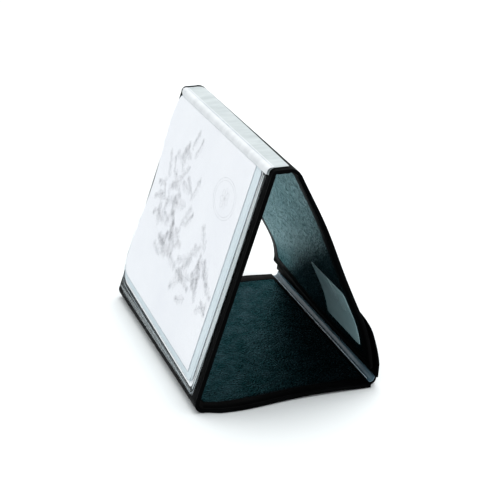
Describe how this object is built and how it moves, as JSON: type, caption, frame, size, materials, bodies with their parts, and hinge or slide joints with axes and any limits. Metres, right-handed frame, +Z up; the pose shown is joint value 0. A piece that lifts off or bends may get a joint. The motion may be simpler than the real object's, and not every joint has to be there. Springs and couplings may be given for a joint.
{
  "type": "photo album stand",
  "caption": "Tent-shaped easel album: vinyl-covered boards hinged in a loop, a print in a clear sleeve on the front, and a hook-and-loop tab that closes the back.",
  "frame": {"origin": "on the table, under the middle of the stand's bounding box", "axes": "+X from the front panel to the rear panel, +Y along the stand's length, +Z up"},
  "size_m": [0.1898, 0.302, 0.2382],
  "materials": {
    "cover_vinyl": "smooth black vinyl, satin",
    "hinge_vinyl": "bare black vinyl web, glossy",
    "lining_vinyl": "grained dark grey vinyl lining",
    "pocket_vinyl": "smooth smoke grey film",
    "board": "grey binder's board",
    "paper": "white sheet with faint grey drawing",
    "clear_film": "clear sleeve film",
    "frosted_film": "milky binding film",
    "hook_and_loop": "black hook and loop tape"
  },
  "bodies": {
    "base": {"base_cover": "cover_vinyl", "base_board": "board", "base_lining": "lining_vinyl", "foot_hinge": "cover_vinyl", "tab_hinge": "hinge_vinyl"},
    "front": {"front_cover": "cover_vinyl", "front_board": "board", "front_lining": "lining_vinyl", "backing_sheet": "paper", "clear_pocket": "clear_film", "top_front_hinge": "cover_vinyl"},
    "page": {"sleeve_back": "clear_film", "print": "paper", "sleeve_front": "clear_film"},
    "spine": {"spine_cover": "cover_vinyl", "spine_board": "board", "spine_lining": "lining_vinyl", "binding_strip": "frosted_film", "top_rear_hinge": "cover_vinyl"},
    "rear": {"rear_cover": "cover_vinyl", "rear_board": "board", "rear_lining": "lining_vinyl", "loop_tape": "hook_and_loop", "card_pocket": "pocket_vinyl"},
    "tab": {"tab_cover": "cover_vinyl", "tab_stiffener": "board", "hook_tape": "hook_and_loop"}
  },
  "joints": [
    {"name": "base_fold", "type": "hinge", "parent": "base", "child": "front", "pos_m": [-0.0941, 0, 0.00289], "axis": [0, 1, 0], "range_deg": [-106, 0], "deforming": ["foot_hinge"]},
    {"name": "tab_fold", "type": "hinge", "parent": "base", "child": "tab", "pos_m": [0.09366, 0, 0.00197], "axis": [0, 1, 0], "range_deg": [0, 88], "deforming": ["tab_hinge"]},
    {"name": "spine_fold", "type": "hinge", "parent": "front", "child": "spine", "pos_m": [-0.01581, 0, 0.23671], "axis": [0, 1, 0], "range_deg": [0, 19], "deforming": ["top_front_hinge"]},
    {"name": "rear_fold", "type": "hinge", "parent": "spine", "child": "rear", "pos_m": [0.0071, 0, 0.2361], "axis": [0, 1, 0], "range_deg": [0, 23], "deforming": ["top_rear_hinge"]},
    {"name": "page_flip", "type": "hinge", "parent": "front", "child": "page", "pos_m": [-0.02068, 0, 0.23329], "axis": [0, 1, 0], "range_deg": [0, 200]}
  ],
  "couplings": [
    {"joint": "tab_fold", "follows": "base_fold", "ratio": -0.8301},
    {"joint": "spine_fold", "follows": "base_fold", "ratio": -0.1792}
  ]
}
